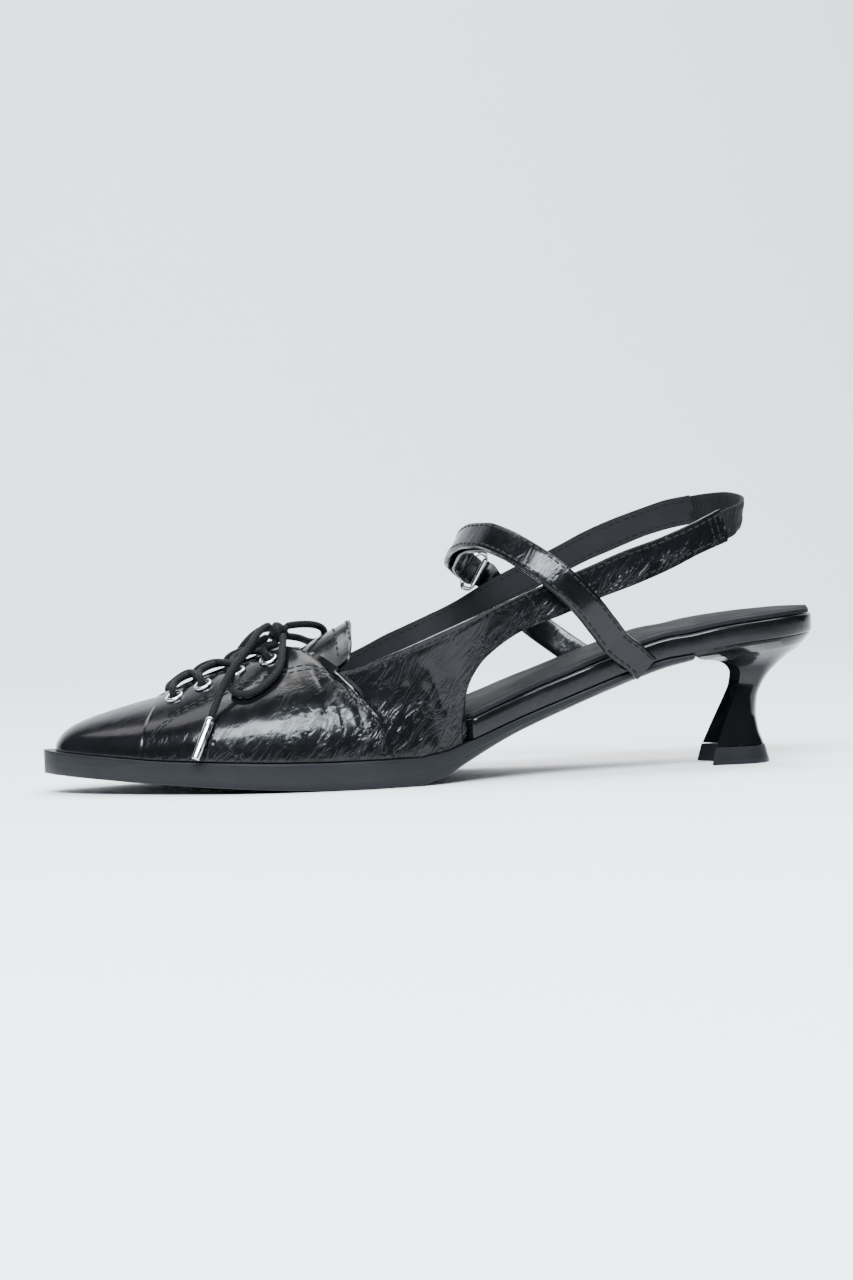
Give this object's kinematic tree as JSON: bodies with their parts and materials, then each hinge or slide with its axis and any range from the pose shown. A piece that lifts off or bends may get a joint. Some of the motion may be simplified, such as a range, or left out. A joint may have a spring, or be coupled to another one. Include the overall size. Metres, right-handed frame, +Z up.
{
  "type": "lace up slingback heel shoe",
  "caption": "Pointed slingback shoe with a laced vamp, tongue, cut-away sides, a crossing instep strap with a ring, an elastic heel loop and a waisted mid-height heel.",
  "frame": {"origin": "on the floor, in the middle of the sole's length and of its width at the ball", "axes": "toe towards -X, heel towards +X, outer side of the foot towards -Y, +Z up from the floor"},
  "size_m": [0.2666, 0.0801, 0.0943],
  "materials": {
    "patent": "crinkled black patent leather, high gloss",
    "sole_rubber": "satin dark grey moulded rubber",
    "heel_gloss": "gloss black lacquered moulding",
    "sock_leather": "matte grey black lining leather",
    "silver_metal": "polished silver coloured metal",
    "lace_cord": "round braided black cord",
    "elastic_web": "black woven elastic with zigzag stitching"
  },
  "bodies": {
    "root": {"outsole": "sole_rubber", "covered_board": "patent", "insole": "sock_leather", "heel": "heel_gloss", "heel_top_piece": "sole_rubber", "upper": "patent", "tongue": "patent", "eyelet_outer_1": "silver_metal", "eyelet_outer_2": "silver_metal", "eyelet_outer_3": "silver_metal", "eyelet_outer_4": "silver_metal", "eyelet_inner_1": "silver_metal", "eyelet_inner_2": "silver_metal", "eyelet_inner_3": "silver_metal", "eyelet_inner_4": "silver_metal", "heel_elastic": "elastic_web", "instep_strap": "patent", "ring_strap": "patent", "strap_ring": "silver_metal", "lace_crossings": "lace_cord", "lace_knot": "lace_cord", "lace_loop_outer": "lace_cord", "lace_loop_inner": "lace_cord", "lace_end_outer": "lace_cord", "lace_end_inner": "lace_cord", "aglet_outer": "silver_metal", "aglet_inner": "silver_metal"}
  },
  "joints": []
}
